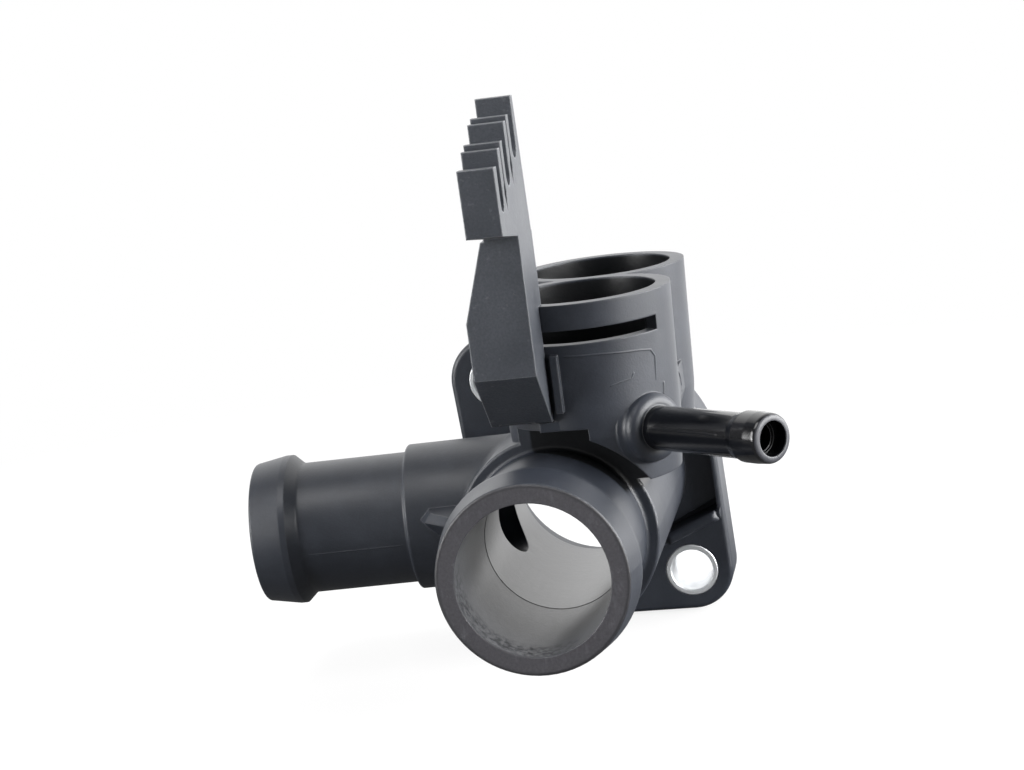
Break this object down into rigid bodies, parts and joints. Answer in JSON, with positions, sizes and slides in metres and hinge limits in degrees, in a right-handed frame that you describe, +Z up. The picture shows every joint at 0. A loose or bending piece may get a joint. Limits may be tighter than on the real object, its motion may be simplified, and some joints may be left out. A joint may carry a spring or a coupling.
{
  "type": "coolant water outlet",
  "caption": "Moulded coolant water outlet with a front hose outlet, a side hose outlet, upright sensor sockets, a vent nipple, a bolted flange and a slide-on harness comb.",
  "frame": {"origin": "centre of the coolant port, on the mounting face", "axes": "+Y out of the mounting face towards the engine, -Y along the front hose outlet, -X towards the side hose outlet, +Z up out of the sensor sockets"},
  "size_m": [0.1049, 0.0835, 0.1063],
  "materials": {
    "housing_nylon": "satin moulded glass-filled nylon",
    "bracket_nylon": "fine matt moulded grain",
    "sleeve_steel": "zinc-plated",
    "seal_rubber": "smooth moulded"
  },
  "bodies": {
    "root": {"housing": "housing_nylon", "harness_comb_bracket": "bracket_nylon", "bolt_sleeve_upper": "sleeve_steel", "bolt_sleeve_lower": "sleeve_steel", "flange_o_ring": "seal_rubber"}
  },
  "joints": []
}
